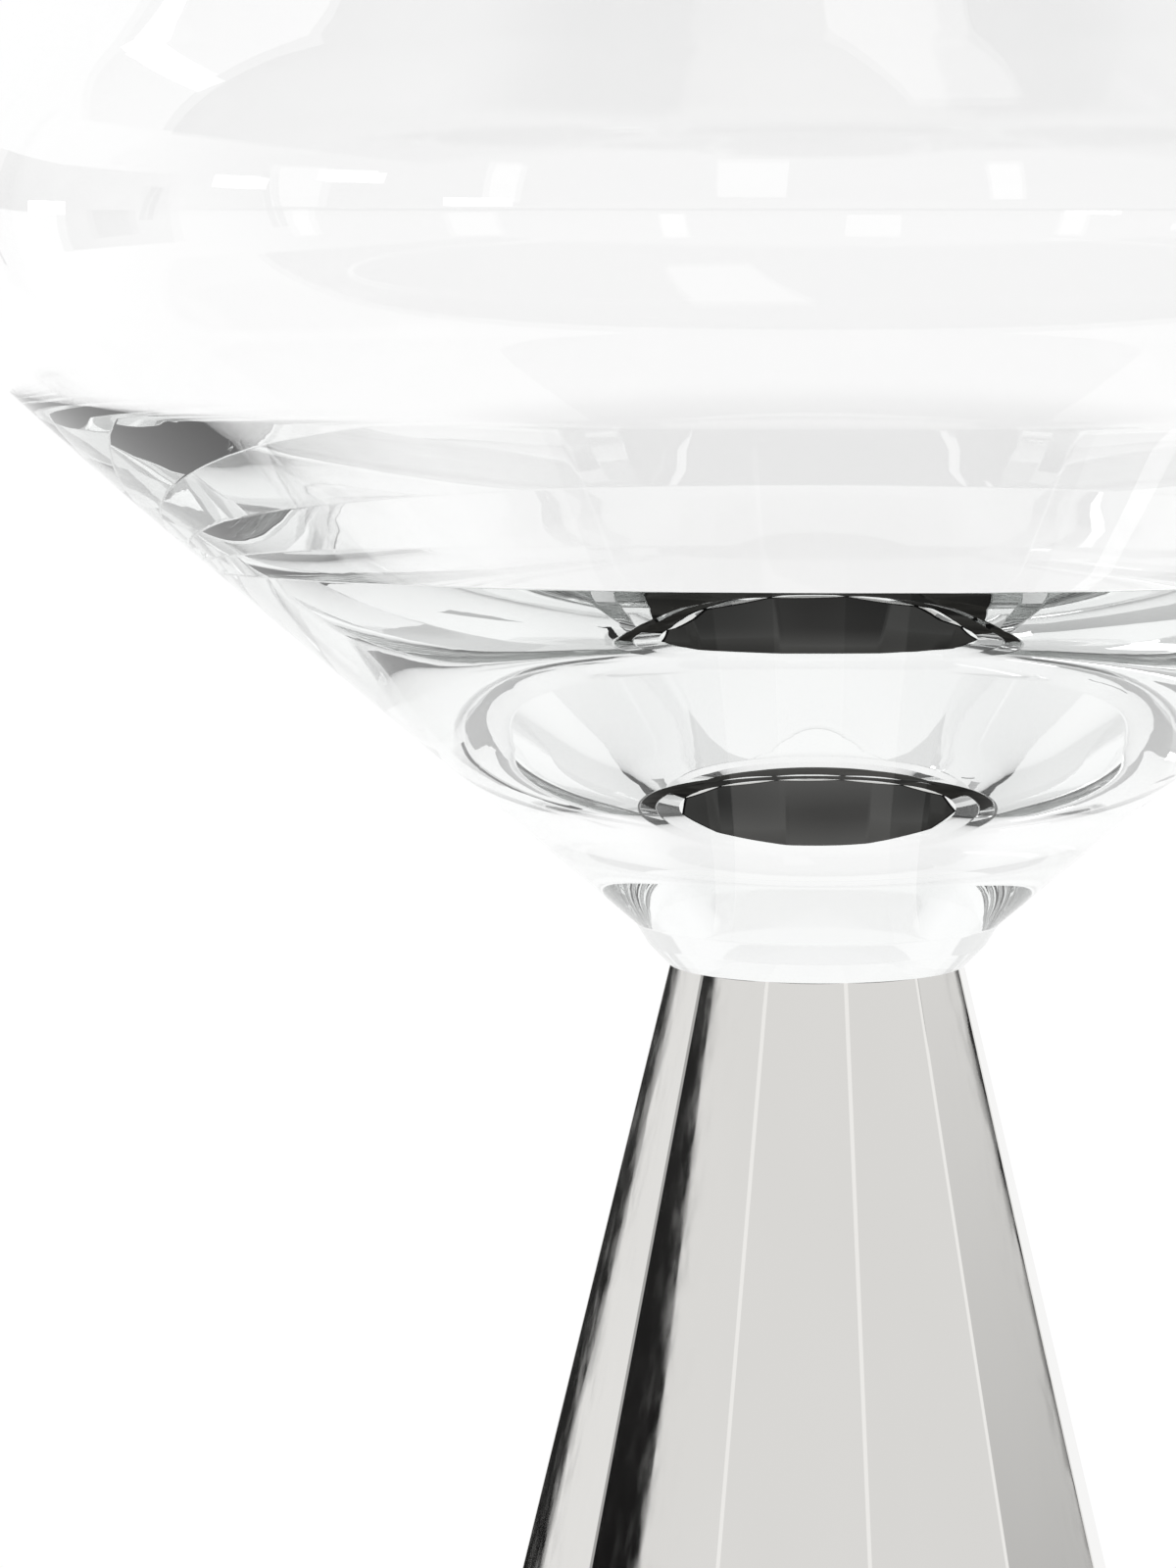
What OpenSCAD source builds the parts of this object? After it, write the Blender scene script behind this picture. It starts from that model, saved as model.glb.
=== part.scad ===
// White wine glass: a clear crystal bowl on a solid, twelve-sided crystal stem that widens
// straight down to the table. The stem's facets carry a mirror coat; the bowl, its thick
// floor and the underside stay clear. One turned and cut piece of crystal, and its coat.
// The glass stands on the origin, +Z up, with one arris of the stem on the +X side.

/* [Stem] */
// Height of the faceted stem, from the table to the bowl
stem_h = 92; // [70:1:120]
// Radius across the stem's corners where the bowl starts
stem_top_r = 8.5; // [7:0.1:11]
// Radius across the stem's corners on the table
stem_base_r = 31; // [24:0.5:38]
// Number of flat facets around the stem
facets = 12; // [8:1:16]
// Width left of the turned blank along each arris
arris_w = 0.22; // [0.1:0.01:0.5]
// Thickness of the mirror coat on the facets
coat_t = 0.15; // [0.1:0.01:0.4]
// Height of the clear bevel around the underside
base_bevel = 0.6; // [0.3:0.1:1.5]

/* [Bowl outside] */
// Steepness of the neck ring where it leaves the stem, from the vertical
neck_angle = 44.3; // [42:0.1:48]
// Height of the neck ring's edge above the stem
ring_h = 1.2; // [0.9:0.1:1.5]
// Steepness of the waist above the neck ring, from the vertical
waist_angle = 31; // [26:1:36]
// Height of the waist's top above the stem
waist_h = 2.4; // [2:0.1:2.8]
// Radius that rounds the ring's edge and the waist's top
ring_round = 0.8; // [0.4:0.1:1.2]
// Half angle of the bowl's straight lower cone
cone_angle = 49.6; // [47:0.1:52]
// Height above the stem where the straight cone ends
cone_h = 23.5; // [18:0.5:26]
// Half angle of the cone's top, after its slight belly
belly_angle = 47; // [44:0.5:47]
// Height above the stem where the shoulder starts
belly_h = 32.5; // [29:0.5:36]
// Radius of the rounded shoulder
shoulder_r = 13.8; // [10:0.1:18]
// Inward slope of the wall above the shoulder, from the vertical
taper_angle = 38; // [30:1:42]
// Height of the rim above the stem
bowl_h = 68; // [62:0.5:72]

/* [Bowl inside] */
// Thickness of solid crystal under the middle of the floor
floor_t = 11.7; // [10:0.1:13]
// Radius of curvature of the floor's middle
floor_mid_r = 31; // [28:0.5:34]
// Slope where the floor's middle ends
floor_mid_angle = 12; // [9:1:15]
// Radius of curvature of the floor around its middle
floor_r = 42; // [38:0.5:46]
// Slope of the straight outer part of the floor
floor_angle = 30.8; // [29:0.1:32]
// Distance from the axis to the corner between the floor and the wall
corner_at = 33; // [31:0.5:35]
// Radius that rounds that corner
corner_round = 1.5; // [0.5:0.1:3]
// Wall thickness at the shoulder and the rim
wall_high = 1.3; // [1:0.1:1.6]

/* [Hidden] */
$fn = 120;

// Degrees between the points of a curve
step = 2.5;

// Points of an arc about c, from angle a0 to angle a1
function arc(c, r, a0, a1) =
    let (n = max(2, ceil(abs(a1 - a0) / step)))
    [for (i = [0 : n]) c + r * [cos(a0 + (a1 - a0) * i / n), sin(a0 + (a1 - a0) * i / n)]];

// Unit vector at angle a
function dir(a) = [cos(a), sin(a)];

// Point where the line from p along angle a meets the line from q along angle b
function meet(p, a, q, b) =
    p + dir(a) * ((q - p).x * sin(b) - (q - p).y * cos(b)) / sin(b - a);

// Arc that rounds the corner between the line from p along angle a and the line from q along b
function fillet(p, a, q, b, r) =
    let (
        tip = meet(p, a, q, b),
        side = b > a ? 90 : -90,
        cut = r * tan(abs(b - a) / 2)
    )
    arc(tip - cut * dir(a) + r * dir(a + side), r, a - side, b - side);

// Facets of the stem: distance of a flat from the axis for a corner radius r
function flat(r) = r * cos(180 / facets);

// How far the turned blank stays inside the sharp corners
blank_gap = arris_w / 2 * tan(180 / facets);

// Outside of the bowl, as radius and height above the stem
neck = [stem_top_r - blank_gap, 0];
neck_dir = 90 - neck_angle;
waist_dir = 90 - waist_angle;
cone_dir = 90 - cone_angle;
ring_edge = meet(neck, neck_dir, [0, ring_h], 0);
waist_top = meet(ring_edge, waist_dir, [0, waist_h], 0);
cone_top = meet(waist_top, cone_dir, [0, cone_h], 0);
belly_turn = cone_angle - belly_angle;
belly_len = (belly_h - cone_h) / cos((cone_angle + belly_angle) / 2);
belly_r = belly_len / (2 * sin(belly_turn / 2));
belly_c = cone_top - belly_r * dir(-cone_angle);
belly_top = belly_c + belly_r * dir(-belly_angle);
shoulder_c = belly_top - shoulder_r * dir(-belly_angle);

// Inside of the bowl
in_shoulder_r = shoulder_r - wall_high;
floor_mid_c = [0, floor_t + floor_mid_r];
floor_c = floor_mid_c + (floor_r - floor_mid_r) * dir(floor_mid_angle + 90);
floor_edge = floor_c + floor_r * dir(floor_angle - 90);
corner = meet(floor_edge, floor_angle, [corner_at, 0], 90);
to_shoulder = shoulder_c - corner;
wall_dir = atan2(to_shoulder.y, to_shoulder.x) - asin(in_shoulder_r / norm(to_shoulder));

// Rim, a half round on the middle of the wall
mid_wall = shoulder_c + (shoulder_r - wall_high / 2) * dir(taper_angle);
rim_c = meet(mid_wall, 90 + taper_angle, [0, bowl_h - wall_high / 2], 0);

function bowl_outside() = concat(
    [neck],
    fillet(neck, neck_dir, ring_edge, waist_dir, ring_round),
    fillet(ring_edge, waist_dir, waist_top, cone_dir, ring_round),
    arc(belly_c, belly_r, -cone_angle, -belly_angle),
    arc(shoulder_c, shoulder_r, -belly_angle, taper_angle)
);

function bowl_inside() = concat(
    arc(shoulder_c, in_shoulder_r, taper_angle, wall_dir - 90),
    fillet(corner, wall_dir + 180, floor_edge, floor_angle + 180, corner_round),
    arc(floor_c, floor_r, floor_angle - 90, floor_mid_angle - 90),
    arc(floor_mid_c, floor_mid_r, floor_mid_angle - 90, -90)
);

function bowl_profile() = concat(
    [[0, 0]],
    bowl_outside(),
    arc(rim_c, wall_high / 2, taper_angle, taper_angle + 180),
    bowl_inside()
);

// Everything outside a plane that crosses the X axis side of the stem at x and z,
// and leans inwards as it rises
module outside_plane(x, z, lean) {
    size = 4 * stem_h;
    translate([x, 0, z])
        rotate([0, -lean, 0])
            translate([0, -size / 2, -size / 2])
                cube(size);
}

// A turned cone with its facets cut: each corner keeps a narrow strip of the turned blank.
// inset thins it all round, and bevel cuts the edge on the table at 45 degrees.
module cut_stem(inset = 0, bevel = 0) {
    base_r = stem_base_r - inset;
    top_r = stem_top_r - inset;
    lean = atan((flat(base_r) - flat(top_r)) / stem_h);
    difference() {
        cylinder(h = stem_h, r1 = base_r - blank_gap, r2 = top_r - blank_gap);
        for (k = [0 : facets - 1])
            rotate([0, 0, (k + 0.5) * 360 / facets]) {
                outside_plane(flat(base_r), 0, lean);
                if (bevel > 0)
                    outside_plane(flat(base_r) - bevel, 0, -45);
            }
    }
}

module crystal() {
    color("aliceblue", 0.35) {
        cut_stem(inset = coat_t, bevel = base_bevel);
        translate([0, 0, stem_h])
            rotate_extrude()
                polygon(bowl_profile());
    }
}

module mirror_coat() {
    color("silver")
        difference() {
            cut_stem();
            cut_stem(inset = coat_t);
            cylinder(h = 2 * base_bevel, r = stem_base_r, center = true);
        }
}

crystal();
mirror_coat();
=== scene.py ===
"""White wine glass on a pale studio floor: the fine crystal body, the mirror coat's finish,
the light and the camera. Sizes are in millimetres, and mm() turns them into metres."""

import math

import bmesh
import bpy
from mathutils import Matrix, Vector


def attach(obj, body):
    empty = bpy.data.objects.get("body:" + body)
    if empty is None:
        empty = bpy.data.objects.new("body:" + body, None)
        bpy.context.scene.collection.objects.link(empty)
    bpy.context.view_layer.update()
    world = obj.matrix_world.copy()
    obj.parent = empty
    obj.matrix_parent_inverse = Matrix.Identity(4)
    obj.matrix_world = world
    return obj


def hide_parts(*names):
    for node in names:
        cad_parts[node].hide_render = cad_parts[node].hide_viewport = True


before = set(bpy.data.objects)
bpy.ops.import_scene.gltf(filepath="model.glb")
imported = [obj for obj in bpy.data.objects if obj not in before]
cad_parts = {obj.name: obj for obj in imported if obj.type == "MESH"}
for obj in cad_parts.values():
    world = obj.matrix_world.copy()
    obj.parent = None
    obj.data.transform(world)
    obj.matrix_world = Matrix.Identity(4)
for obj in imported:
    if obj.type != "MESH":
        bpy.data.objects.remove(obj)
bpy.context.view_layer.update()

# Driving sizes of the stem, in millimetres and degrees
STEM_H = 92.0
STEM_TOP_R = 8.5
STEM_BASE_R = 31.0
FACETS = 12
ARRIS_W = 0.22
COAT_T = 0.15
BASE_BEVEL = 0.6

# Outside of the bowl
NECK_ANGLE = 44.3
RING_H = 1.2
WAIST_ANGLE = 31.0
WAIST_H = 2.4
RING_ROUND = 0.8
CONE_ANGLE = 49.6
CONE_H = 23.5
BELLY_ANGLE = 47.0
BELLY_H = 32.5
SHOULDER_R = 13.8
TAPER_ANGLE = 38.0
BOWL_H = 68.0

# Inside of the bowl
FLOOR_T = 11.55
FLOOR_MID_R = 31.0
FLOOR_MID_ANGLE = 12.0
FLOOR_R = 42.0
FLOOR_ANGLE = 28.9
CORNER_AT = 32.45
CORNER_ROUND = 1.5
WALL_HIGH = 1.3

# Waves of the surfaces: length and depth, in millimetres
CRYSTAL_WAVE = 9.0
CRYSTAL_WAVE_DEPTH = 0.004
COAT_WAVE = 10.0
COAT_WAVE_DEPTH = 0.004

# Floor: its size in metres, the painted shadow around the foot in millimetres, and its glow, with
# painted shade under the foot and painted dimmer light towards the front
FLOOR_SIZE = 60
# Painted shadow on the floor round the foot: dark inside the first radius, fading out by the second
SHADE_IN = 44.0
SHADE_OUT = 78.0
# Floor glow behind the glass and at its front, and how far the painted change of light between them
# reaches
FLOOR_GLOW = 0.94
FRONT_GLOW = 0.75
FRONT_REACH = 120.0
# Painted shade under the foot: a faint glow, dimmest in the middle and brighter towards the foot's edge
PAINTED_SHADE_UNDER_MIDDLE = 0.015
PAINTED_SHADE_UNDER_EDGE = 0.07
PAINTED_SHADE_UNDER_REACH = 5.0

# Light of the surroundings, behind the camera and beyond the glass, and where it changes
SKY_FRONT = 0.3
SKY_BACK = 1.0
SKY_FROM = -0.4
SKY_TO = 0.3

# Light paths run this long inside the crystal
BOUNCES = 56

# Fineness of the crystal mesh: degrees along curves, millimetres along straight stretches
CURVE_STEP = 1.5
BELLY_STEP = 0.4
RIM_STEP = 15
FILLET_STEP = 6.0
LINE_STEP = 1.6
COLUMN_STEP = 1.1
SHARP_ANGLE = 18


def mm(value):
    return value * 0.001


# Outline of the bowl, as points of radius and height above the stem


def along(degrees):
    """Unit vector at an angle from the radius axis."""
    return Vector((math.cos(math.radians(degrees)), math.sin(math.radians(degrees))))


def arc(centre, radius, start, end, step=CURVE_STEP):
    count = max(2, math.ceil(abs(end - start) / step))
    return [centre + radius * along(start + (end - start) * i / count) for i in range(count + 1)]


def line(a, b):
    """Points between a and b, without its ends."""
    count = max(1, math.ceil((b - a).length / LINE_STEP))
    return [a.lerp(b, i / count) for i in range(1, count)]


def meet(p, a, q, b):
    """Point where the line from p at angle a meets the line from q at angle b."""
    gap = q - p
    a, b = math.radians(a), math.radians(b)
    reach = (gap.x * math.sin(b) - gap.y * math.cos(b)) / math.sin(b - a)
    return p + reach * Vector((math.cos(a), math.sin(a)))


def joined(curves):
    """One run of points through several curves, with fine steps on the straights between."""
    points = list(curves[0])
    for curve in curves[1:]:
        points += line(points[-1], curve[0])
        points += curve
    return points


def fillet(p, a, q, b, radius, step=FILLET_STEP):
    """Arc that rounds the corner between the line from p at angle a and the line from q at angle b."""
    tip = meet(p, a, q, b)
    side = math.copysign(90, b - a)
    cut = radius * math.tan(math.radians(abs(b - a) / 2))
    return arc(tip - cut * along(a) + radius * along(a + side), radius, a - side, b - side, step)


def flat_of(corner_r):
    """Distance of a facet from the axis, for a radius across the corners."""
    return corner_r * math.cos(math.pi / FACETS)


def bowl_outline():
    """The whole section of the bowl, from the neck up the outside and down to the floor's middle."""
    neck = Vector((STEM_TOP_R - blank_gap(), 0.0))
    ring_edge = meet(neck, 90 - NECK_ANGLE, Vector((0, RING_H)), 0)
    waist = meet(ring_edge, 90 - WAIST_ANGLE, Vector((0, WAIST_H)), 0)
    ring = fillet(neck, 90 - NECK_ANGLE, ring_edge, 90 - WAIST_ANGLE, RING_ROUND)
    above_ring = fillet(ring_edge, 90 - WAIST_ANGLE, waist, 90 - CONE_ANGLE, RING_ROUND)
    cone_top = meet(waist, 90 - CONE_ANGLE, Vector((0, CONE_H)), 0)
    belly_chord = (BELLY_H - CONE_H) / math.cos(math.radians((CONE_ANGLE + BELLY_ANGLE) / 2))
    belly_r = belly_chord / (2 * math.sin(math.radians((CONE_ANGLE - BELLY_ANGLE) / 2)))
    belly = arc(cone_top - belly_r * along(-CONE_ANGLE), belly_r, -CONE_ANGLE, -BELLY_ANGLE, BELLY_STEP)
    shoulder_c = belly[-1] - SHOULDER_R * along(-BELLY_ANGLE)
    shoulder = arc(shoulder_c, SHOULDER_R, -BELLY_ANGLE, TAPER_ANGLE)

    mid_wall = shoulder_c + (SHOULDER_R - WALL_HIGH / 2) * along(TAPER_ANGLE)
    rim_c = meet(mid_wall, 90 + TAPER_ANGLE, Vector((0, BOWL_H - WALL_HIGH / 2)), 0)
    rim = arc(rim_c, WALL_HIGH / 2, TAPER_ANGLE, TAPER_ANGLE + 180, RIM_STEP)

    inner_r = SHOULDER_R - WALL_HIGH
    floor_mid = arc(Vector((0, FLOOR_T + FLOOR_MID_R)), FLOOR_MID_R, -90, FLOOR_MID_ANGLE - 90)
    floor_c = floor_mid[-1] + FLOOR_R * along(FLOOR_MID_ANGLE + 90)
    floor = arc(floor_c, FLOOR_R, FLOOR_MID_ANGLE - 90, FLOOR_ANGLE - 90)
    corner = meet(floor[-1], FLOOR_ANGLE, Vector((CORNER_AT, 0)), 90)
    reach = shoulder_c - corner
    wall_dir = math.degrees(math.atan2(reach.y, reach.x) - math.asin(inner_r / reach.length))
    inner_corner = fillet(floor[-1], FLOOR_ANGLE, corner, wall_dir, CORNER_ROUND, CURVE_STEP)
    inner_shoulder = arc(shoulder_c, inner_r, TAPER_ANGLE, wall_dir - 90)
    inside = joined([floor_mid[:-1], floor, inner_corner, inner_shoulder[::-1]])
    return joined([[neck], ring, above_ring, belly, shoulder[1:], rim, inside[::-1]])


def column_angles():
    """Angles of the mesh's columns: even steps, with one at each edge of each facet."""
    inner_top = STEM_TOP_R - COAT_T
    edge = math.degrees(math.acos(flat_of(inner_top) / (inner_top - blank_gap())))
    half = 180 / FACETS
    side = []
    for start, end in ((0, edge), (edge, half)):
        count = max(1, round((end - start) / COLUMN_STEP))
        side += [start + (end - start) * i / count for i in range(count)]
    sector = [-a for a in reversed(side[1:])] + side
    middles = [(k + 0.5) * 360 / FACETS for k in range(FACETS)]
    return [m + a for m in middles for a in [-half] + sector], edge


def blank_gap():
    """How far the turned blank stays inside a stem's sharp corner."""
    return ARRIS_W / 2 * math.tan(math.pi / FACETS)


def stem_radius(angle, corner_r, edge):
    """Radius of the cut stem at an angle: a flat between the edges, else the turned blank."""
    pitch = 360 / FACETS
    off = (angle % pitch) - pitch / 2
    if abs(off) > edge + 1e-6:
        return corner_r - blank_gap()
    return flat_of(corner_r) / math.cos(math.radians(off))


def build_crystal():
    """The crystal in one closed mesh: bowl, neck, cut stem and bevelled underside.
    Material 0 is bare crystal, 1 the crystal's face against the mirror coat."""
    angles, edge = column_angles()
    section = bowl_outline()
    bm = bmesh.new()

    def ring(radius_at, z):
        return [
            bm.verts.new((
                mm(radius_at(a)) * math.cos(math.radians(a)),
                mm(radius_at(a)) * math.sin(math.radians(a)),
                mm(z),
            ))
            for a in angles
        ]

    def skin(lower, upper, material):
        count = len(angles)
        for k in range(count):
            face = bm.faces.new((lower[k], lower[(k + 1) % count], upper[(k + 1) % count], upper[k]))
            face.material_index = material
            face.smooth = True

    inset_base = STEM_BASE_R - COAT_T
    inset_top = STEM_TOP_R - COAT_T
    slope = (inset_base - inset_top) / STEM_H
    foot = ring(lambda a: stem_radius(a, inset_base, edge) - BASE_BEVEL, 0)
    bevel = ring(lambda a: stem_radius(a, inset_base - slope * BASE_BEVEL, edge), BASE_BEVEL)
    top = ring(lambda a: stem_radius(a, inset_top, edge), STEM_H)
    rings = [ring(lambda a, r=p.x: r, STEM_H + p.y) for p in section[:-1]]
    skin(foot, bevel, 0)
    skin(bevel, top, 1)
    skin(top, rings[0], 0)
    for lower, upper in zip(rings, rings[1:]):
        skin(lower, upper, 0)
    middle = bm.verts.new((0, 0, mm(STEM_H + section[-1].y)))
    for k in range(len(angles)):
        bm.faces.new((rings[-1][k], rings[-1][(k + 1) % len(angles)], middle)).smooth = True
    bm.faces.new(foot[::-1])
    mesh = bpy.data.meshes.new("crystal_body")
    bm.to_mesh(mesh)
    bm.free()
    mesh.set_sharp_from_angle(angle=math.radians(SHARP_ANGLE))
    body = bpy.data.objects.new("crystal_body", mesh)
    bpy.context.scene.collection.objects.link(body)
    return body


# Materials


class Shading:
    """A material's node tree, with short ways to add a node and to link it."""

    def __init__(self, name):
        self.material = bpy.data.materials.new(name)
        self.material.use_nodes = True
        self.nodes = self.material.node_tree.nodes
        self.links = self.material.node_tree.links
        self.output = self.nodes["Material Output"]
        self.shader = self.nodes["Principled BSDF"]

    def add(self, kind, **values):
        node = self.nodes.new(kind)
        for key, value in values.items():
            node.inputs[key.replace("_", " ")].default_value = value
        return node

    def set(self, **values):
        for key, value in values.items():
            self.shader.inputs[key.replace("_", " ")].default_value = value

    def link(self, start, end):
        self.links.new(start, end)

    def noise(self, size_mm, stretch=(1, 1, 1), detail=2.0):
        """Noise with features of about size_mm, in the object's own coordinates."""
        place = self.nodes.new("ShaderNodeTexCoord")
        mapping = self.add("ShaderNodeMapping", Scale=stretch)
        noise = self.add("ShaderNodeTexNoise", Scale=1 / mm(size_mm), Detail=detail)
        self.link(place.outputs["Object"], mapping.inputs["Vector"])
        self.link(mapping.outputs["Vector"], noise.inputs["Vector"])
        return noise.outputs["Fac"]

    def between(self, source, low, high, start=0.3, end=0.7):
        """Turns a value from start to end into one from low to high."""
        node = self.add("ShaderNodeMapRange", From_Min=start, From_Max=end, To_Min=low, To_Max=high)
        self.link(source, node.inputs["Value"])
        return node.outputs["Result"]

    def waves(self, height, depth_mm):
        bump = self.add("ShaderNodeBump", Strength=1.0, Distance=mm(depth_mm))
        self.link(height, bump.inputs["Height"])
        self.link(bump.outputs["Normal"], self.shader.inputs["Normal"])


def crystal_material():
    """Clear crystal with a faint green tint in depth and the slow waves of blown glass."""
    shading = Shading("clear_crystal")
    shading.set(Base_Color=(1, 1, 1, 1), Roughness=0.0, IOR=1.52, Transmission_Weight=1.0)
    shading.waves(shading.noise(CRYSTAL_WAVE, stretch=(1, 1, 0.4), detail=0.0), CRYSTAL_WAVE_DEPTH)
    tint = shading.add("ShaderNodeVolumeAbsorption", Color=(0.8, 0.92, 0.86, 1), Density=1.6)
    shading.link(tint.outputs["Volume"], shading.output.inputs["Volume"])
    return shading.material


def mirror_material(name):
    """Fired metal coat: bright, a little uneven, with fine streaks along the stem."""
    shading = Shading(name)
    shading.set(Metallic=1.0)
    tone = shading.add("ShaderNodeMix")
    tone.data_type = "RGBA"
    tone.inputs["A"].default_value = (0.70, 0.69, 0.67, 1)
    tone.inputs["B"].default_value = (0.74, 0.73, 0.71, 1)
    shading.link(shading.noise(9, stretch=(1, 1, 0.3)), tone.inputs["Factor"])
    shading.link(tone.outputs["Result"], shading.shader.inputs["Base Color"])
    streaks = shading.noise(0.6, stretch=(1, 1, 0.03), detail=4.0)
    shading.link(shading.between(streaks, 0.006, 0.03), shading.shader.inputs["Roughness"])
    shading.waves(shading.noise(COAT_WAVE, stretch=(1, 1, 0.35)), COAT_WAVE_DEPTH)
    return shading.material


# Stage


def glow(name, low, high=None):
    """Plain light of one strength, or one that changes from the bottom of a panel to its top."""
    shading = Shading(name)
    light = shading.add("ShaderNodeEmission", Strength=low)
    if high is not None:
        place = shading.nodes.new("ShaderNodeTexCoord")
        split = shading.nodes.new("ShaderNodeSeparateXYZ")
        shading.link(place.outputs["Generated"], split.inputs["Vector"])
        shading.link(shading.between(split.outputs["Z"], low, high, 0, 1), light.inputs["Strength"])
    shading.link(light.outputs["Emission"], shading.output.inputs["Surface"])
    shading.material.cycles.emission_sampling = "NONE"
    return shading.material


def floor_material():
    """Pale glowing floor with painted shade and light: a painted shadow close around the foot, painted
    shade under it with a faint glow, lighter beyond and painted lightest away from the front.
    """
    shading = Shading("pale_floor")
    place = shading.nodes.new("ShaderNodeTexCoord")
    reach = shading.add("ShaderNodeVectorMath")
    reach.operation = "LENGTH"
    shading.link(place.outputs["Object"], reach.inputs[0])
    distance = reach.outputs["Value"]
    # Painted shadow round the foot: the floor's glow fades to nothing close to it
    painted_foot_shadow = shading.between(distance, 0.0, 1.0, mm(SHADE_IN), mm(SHADE_OUT))
    painted_foot_shadow.node.interpolation_type = "SMOOTHSTEP"
    # Painted shade under the foot, with a faint glow
    painted_under_shade = shading.between(distance, PAINTED_SHADE_UNDER_MIDDLE, PAINTED_SHADE_UNDER_EDGE, mm(PAINTED_SHADE_UNDER_REACH), mm(STEM_BASE_R))
    # Painted light: the floor glows brighter away from the front and dimmer towards it
    away = shading.add("ShaderNodeVectorMath")
    away.operation = "DOT_PRODUCT"
    away.inputs[1].default_value = seen_at(0, 0)
    shading.link(place.outputs["Object"], away.inputs[0])
    depth = shading.between(away.outputs["Value"], FRONT_GLOW, FLOOR_GLOW,
                            mm(-FRONT_REACH), mm(FRONT_REACH))
    depth.node.interpolation_type = "SMOOTHSTEP"
    strength = shading.nodes.new("ShaderNodeMath")
    strength.operation = "MULTIPLY_ADD"
    for k, value in enumerate((painted_foot_shadow, depth, painted_under_shade)):
        shading.link(value, strength.inputs[k])
    light = shading.add("ShaderNodeEmission", Color=(1, 1, 1, 1))
    shading.link(strength.outputs["Value"], light.inputs["Strength"])
    shading.link(light.outputs["Emission"], shading.output.inputs["Surface"])
    shading.material.cycles.emission_sampling = "NONE"
    return shading.material


def seen_at(azimuth, elevation):
    """Direction from the glass: azimuth 0 is away from the camera and positive to its right."""
    turn = math.radians(CAMERA_AZIMUTH + 180 - azimuth)
    rise = math.radians(elevation)
    return Vector((math.cos(turn) * math.cos(rise), math.sin(turn) * math.cos(rise), math.sin(rise)))


def stage_face(name, points, material):
    """A flat panel of the studio, seen only in the glass and the mirror."""
    mesh = bpy.data.meshes.new(name)
    mesh.from_pydata(points, [], [range(len(points))])
    mesh.materials.append(material)
    panel = bpy.data.objects.new(name, mesh)
    bpy.context.scene.collection.objects.link(panel)
    panel.visible_camera = False
    panel.visible_diffuse = False
    return panel


def panel(name, azimuth, distance, corners, low, high=None):
    """An upright panel at an azimuth and distance, with corners as (side, height) in millimetres."""
    middle = distance * seen_at(azimuth, 0)
    side = seen_at(azimuth + 90, 0)
    points = [mm(1) * (middle + along_side * side) + Vector((0, 0, mm(height)))
              for along_side, height in corners]
    return stage_face(name, points, glow(name + "_light", low, high))


def lamp(name, azimuth, elevation, width, height, distance, strength):
    """A panel square to the glass, with its sizes in degrees as the stem's top sees it."""
    away = seen_at(azimuth, elevation)
    side = seen_at(azimuth + 90, 0)
    up = side.cross(away)
    half_w = math.tan(math.radians(width / 2))
    half_h = math.tan(math.radians(height / 2))
    centre = Vector((0, 0, mm(STEM_H)))
    points = [centre + mm(distance) * (away + u * half_w * side + v * half_h * up)
              for u, v in ((-1, -1), (1, -1), (1, 1), (-1, 1))]
    return stage_face(name, points, glow(name + "_light", strength))


def roof(name, corners, height, radiance):
    """A level board, with corners as (side, away from the camera) in millimetres."""
    side, away = seen_at(90, 0), seen_at(0, 0)
    points = [mm(1) * (u * side + v * away) + Vector((0, 0, mm(height))) for u, v in corners]
    return stage_face(name, points, glow(name + "_light", radiance))


# Camera: measured from the photo's stem, in its 1200 by 1600 pixels
PHOTO_W, PHOTO_H = 1200, 1600
NECK_PIXEL = (835.6, 980.6)
PIXELS_PER_MM = 18.08
CAMERA_D = 300.0
CAMERA_RISE = 43.0
CAMERA_AZIMUTH = -101.0


def make_camera():
    """Stands CAMERA_D from the axis and aims so that the stem's top falls on NECK_PIXEL."""
    reach = math.hypot(CAMERA_D, CAMERA_RISE)
    focal = PIXELS_PER_MM * CAMERA_D
    yaw = math.atan((PHOTO_W / 2 - NECK_PIXEL[0]) / focal)
    drop = math.atan(CAMERA_RISE / CAMERA_D)
    pitch = drop - math.atan((NECK_PIXEL[1] - PHOTO_H / 2) / focal)
    data = bpy.data.cameras.new("camera")
    data.sensor_fit = "VERTICAL"
    data.sensor_height = 36
    data.lens = focal / PHOTO_H * data.sensor_height
    data.clip_start = 0.01
    camera = bpy.data.objects.new("camera", data)
    bpy.context.scene.collection.objects.link(camera)
    facing = CAMERA_AZIMUTH + 90
    place = Matrix.Rotation(math.radians(facing), 4, "Z")
    aim = Matrix.Rotation(-yaw, 4, "Z") @ Matrix.Rotation(math.pi / 2 - pitch, 4, "X")
    camera.matrix_world = place @ Matrix.Translation((0, -mm(CAMERA_D), mm(STEM_H + CAMERA_RISE))) @ aim
    bpy.context.scene.camera = camera


body = build_crystal()
body.data.materials.append(crystal_material())
body.data.materials.append(mirror_material("coat_from_inside"))
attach(body, "root")
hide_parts("crystal")

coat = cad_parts["mirror_coat"]
coat.data.materials.clear()
coat.data.materials.append(mirror_material("mirror_coat"))

bpy.ops.mesh.primitive_plane_add(size=FLOOR_SIZE, location=(0, 0, 0))
floor = bpy.context.object
floor.name = "floor"
floor.data.materials.append(floor_material())

# Dark and grey boards over the glass, which its floor and wall show
roof("front_roof", [(-1300, 80), (1300, 80), (1300, -1050), (-1300, -1050)], 650, 0.0)
roof("left_roof", [(-1300, 80), (-230, 80), (-330, 520), (-1300, 520)], 651, 0.8)
roof("right_roof", [(1300, 80), (230, 80), (330, 520), (1300, 520)], 651, 0.8)

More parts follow.
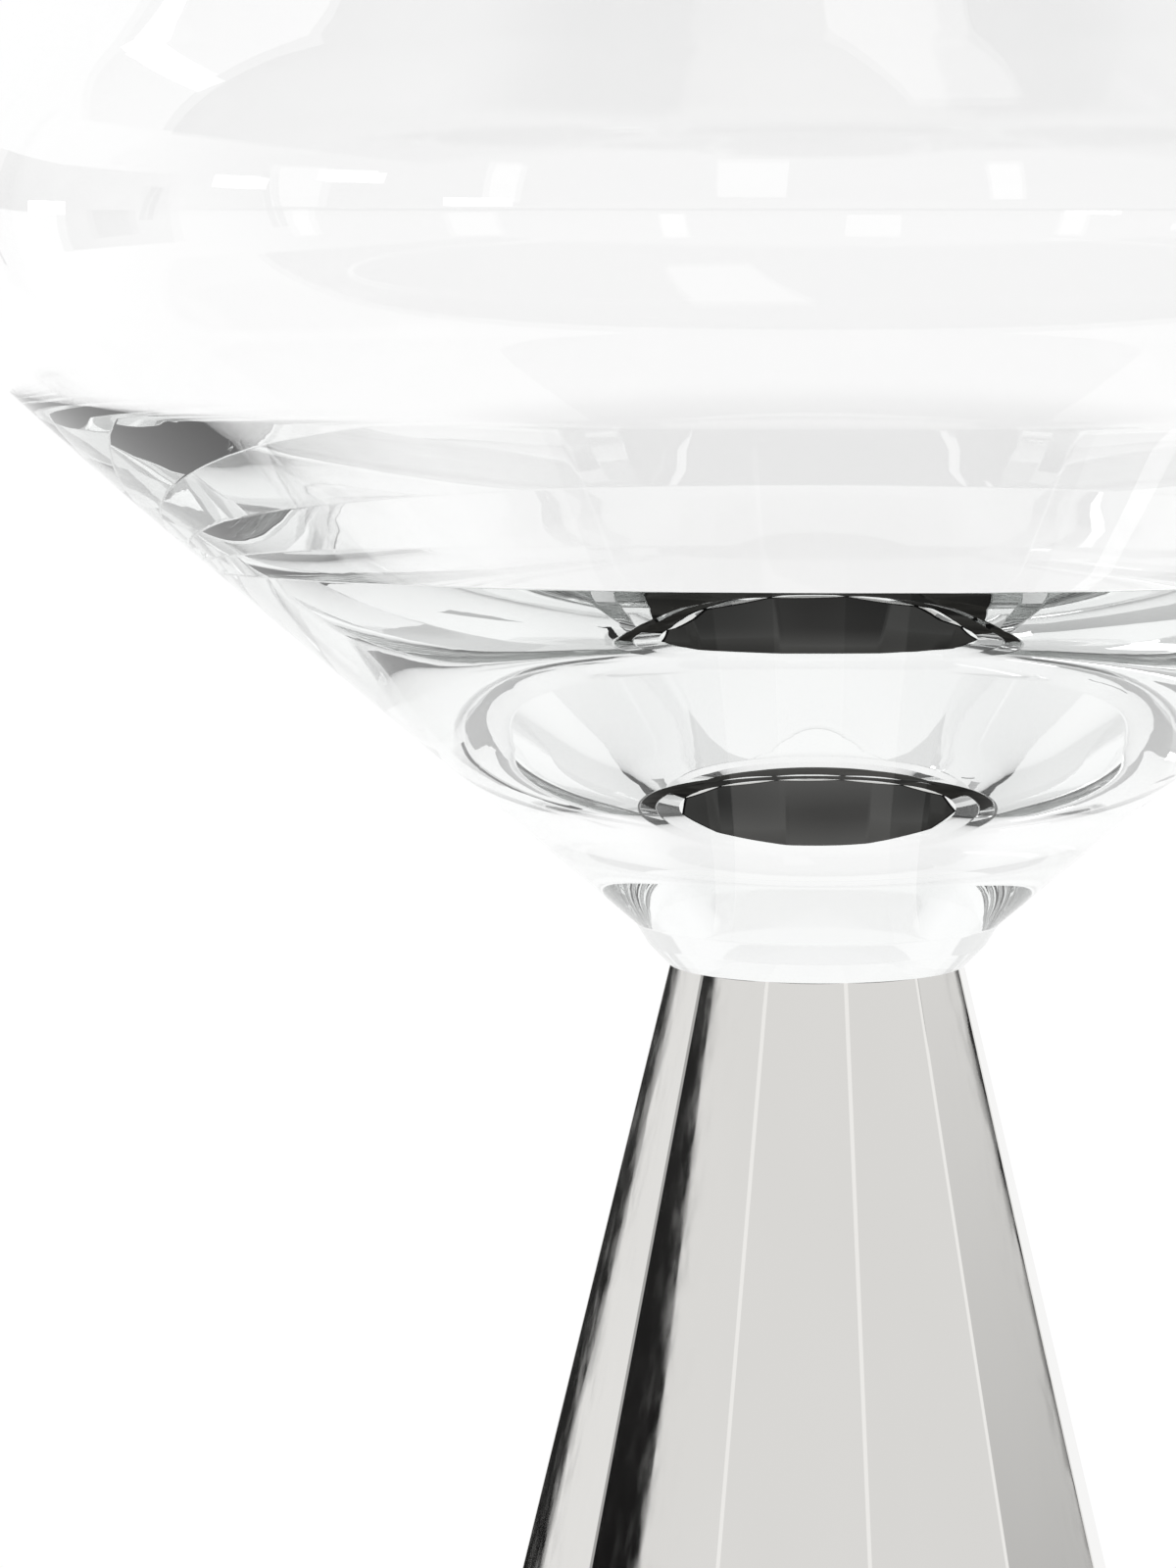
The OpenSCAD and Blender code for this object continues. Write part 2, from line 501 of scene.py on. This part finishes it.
# Upright panels: the dark ones are the dark strips of the facets, the grey ones the band
panel("left_black", -51.6, 800, [(-34, 0), (-26, 0), (4, 150), (-4, 150)], 0.015, 0.04)
panel("side_black", -110.6, 800, [(-29, 60), (-15, 60), (18, 300), (4, 300)], 0.0, 0.03)
panel("right_grey", 67, 810, [(-10, 0), (50, 0), (50, 200), (-10, 200)], 0.55, 0.95)
panel("right_black", 67, 790, [(14, 0), (32, 0), (1, 200), (-18, 200)], 0.02)
panel("left_grey", -58.5, 800, [(-300, 110), (60, 140), (60, 280), (-300, 280)], 0.5, 0.62)
panel("left_low", -82, 805, [(-190, 0), (130, 0), (130, 280), (-190, 280)], 0.45, 0.55)
panel("right_band", 58, 800, [(-72, 140), (76, 140), (76, 280), (-72, 280)], 0.48, 0.62)

# Small lights that make the row of highlights on the wall, and two larger ones
lamp("lamp_1", -69.5, 3.5, 7, 3, 780, 4)
lamp("lamp_2", -105.6, 11.7, 7, 3.6, 780, 4)
lamp("lamp_3", -121.7, 14.5, 8, 3.6, 780, 4)
lamp("lamp_4", -139.2, 6.1, 8, 3, 780, 4)
lamp("window", -70, 39, 22, 4, 600, 3.0)
lamp("soft_box", 160, 60, 11, 30, 420, 0.6)

# Pale lights that the facets mirror, and the brighter ones that make the lines between them
lamp("white_side", -114.2, 10.5, 8, 13, 860, 0.97)
lamp("white_front", -172, 15, 8, 14, 860, 0.96)
lamp("white_right", 127, 12.5, 8, 14, 860, 0.95)
lamp("arris_left", -142, 13, 4, 14, 870, 1.15)
lamp("arris_front", 158, 14, 4, 14, 870, 1.15)
lamp("arris_right", 98, 10, 4, 14, 870, 1.15)

world = bpy.data.worlds.new("studio")
bpy.context.scene.world = world
world.use_nodes = True
world.cycles.sampling_method = "NONE"
sky = world.node_tree
direction = sky.nodes.new("ShaderNodeTexCoord")
facing = sky.nodes.new("ShaderNodeVectorMath")
facing.operation = "DOT_PRODUCT"
facing.inputs[1].default_value = seen_at(0, 0)
falloff = sky.nodes.new("ShaderNodeMapRange")
falloff.interpolation_type = "SMOOTHSTEP"
falloff.inputs["From Min"].default_value = SKY_FROM
falloff.inputs["From Max"].default_value = SKY_TO
falloff.inputs["To Min"].default_value = SKY_FRONT
falloff.inputs["To Max"].default_value = SKY_BACK
sky.links.new(direction.outputs["Generated"], facing.inputs[0])
sky.links.new(facing.outputs["Value"], falloff.inputs["Value"])
sky.links.new(falloff.outputs["Result"], sky.nodes["Background"].inputs["Strength"])
sky.nodes["Background"].inputs["Color"].default_value = (1, 1, 1, 1)

make_camera()
scene = bpy.context.scene
scene.view_settings.view_transform = "Standard"
scene.cycles.max_bounces = BOUNCES
scene.cycles.transmission_bounces = BOUNCES
scene.cycles.glossy_bounces = BOUNCES
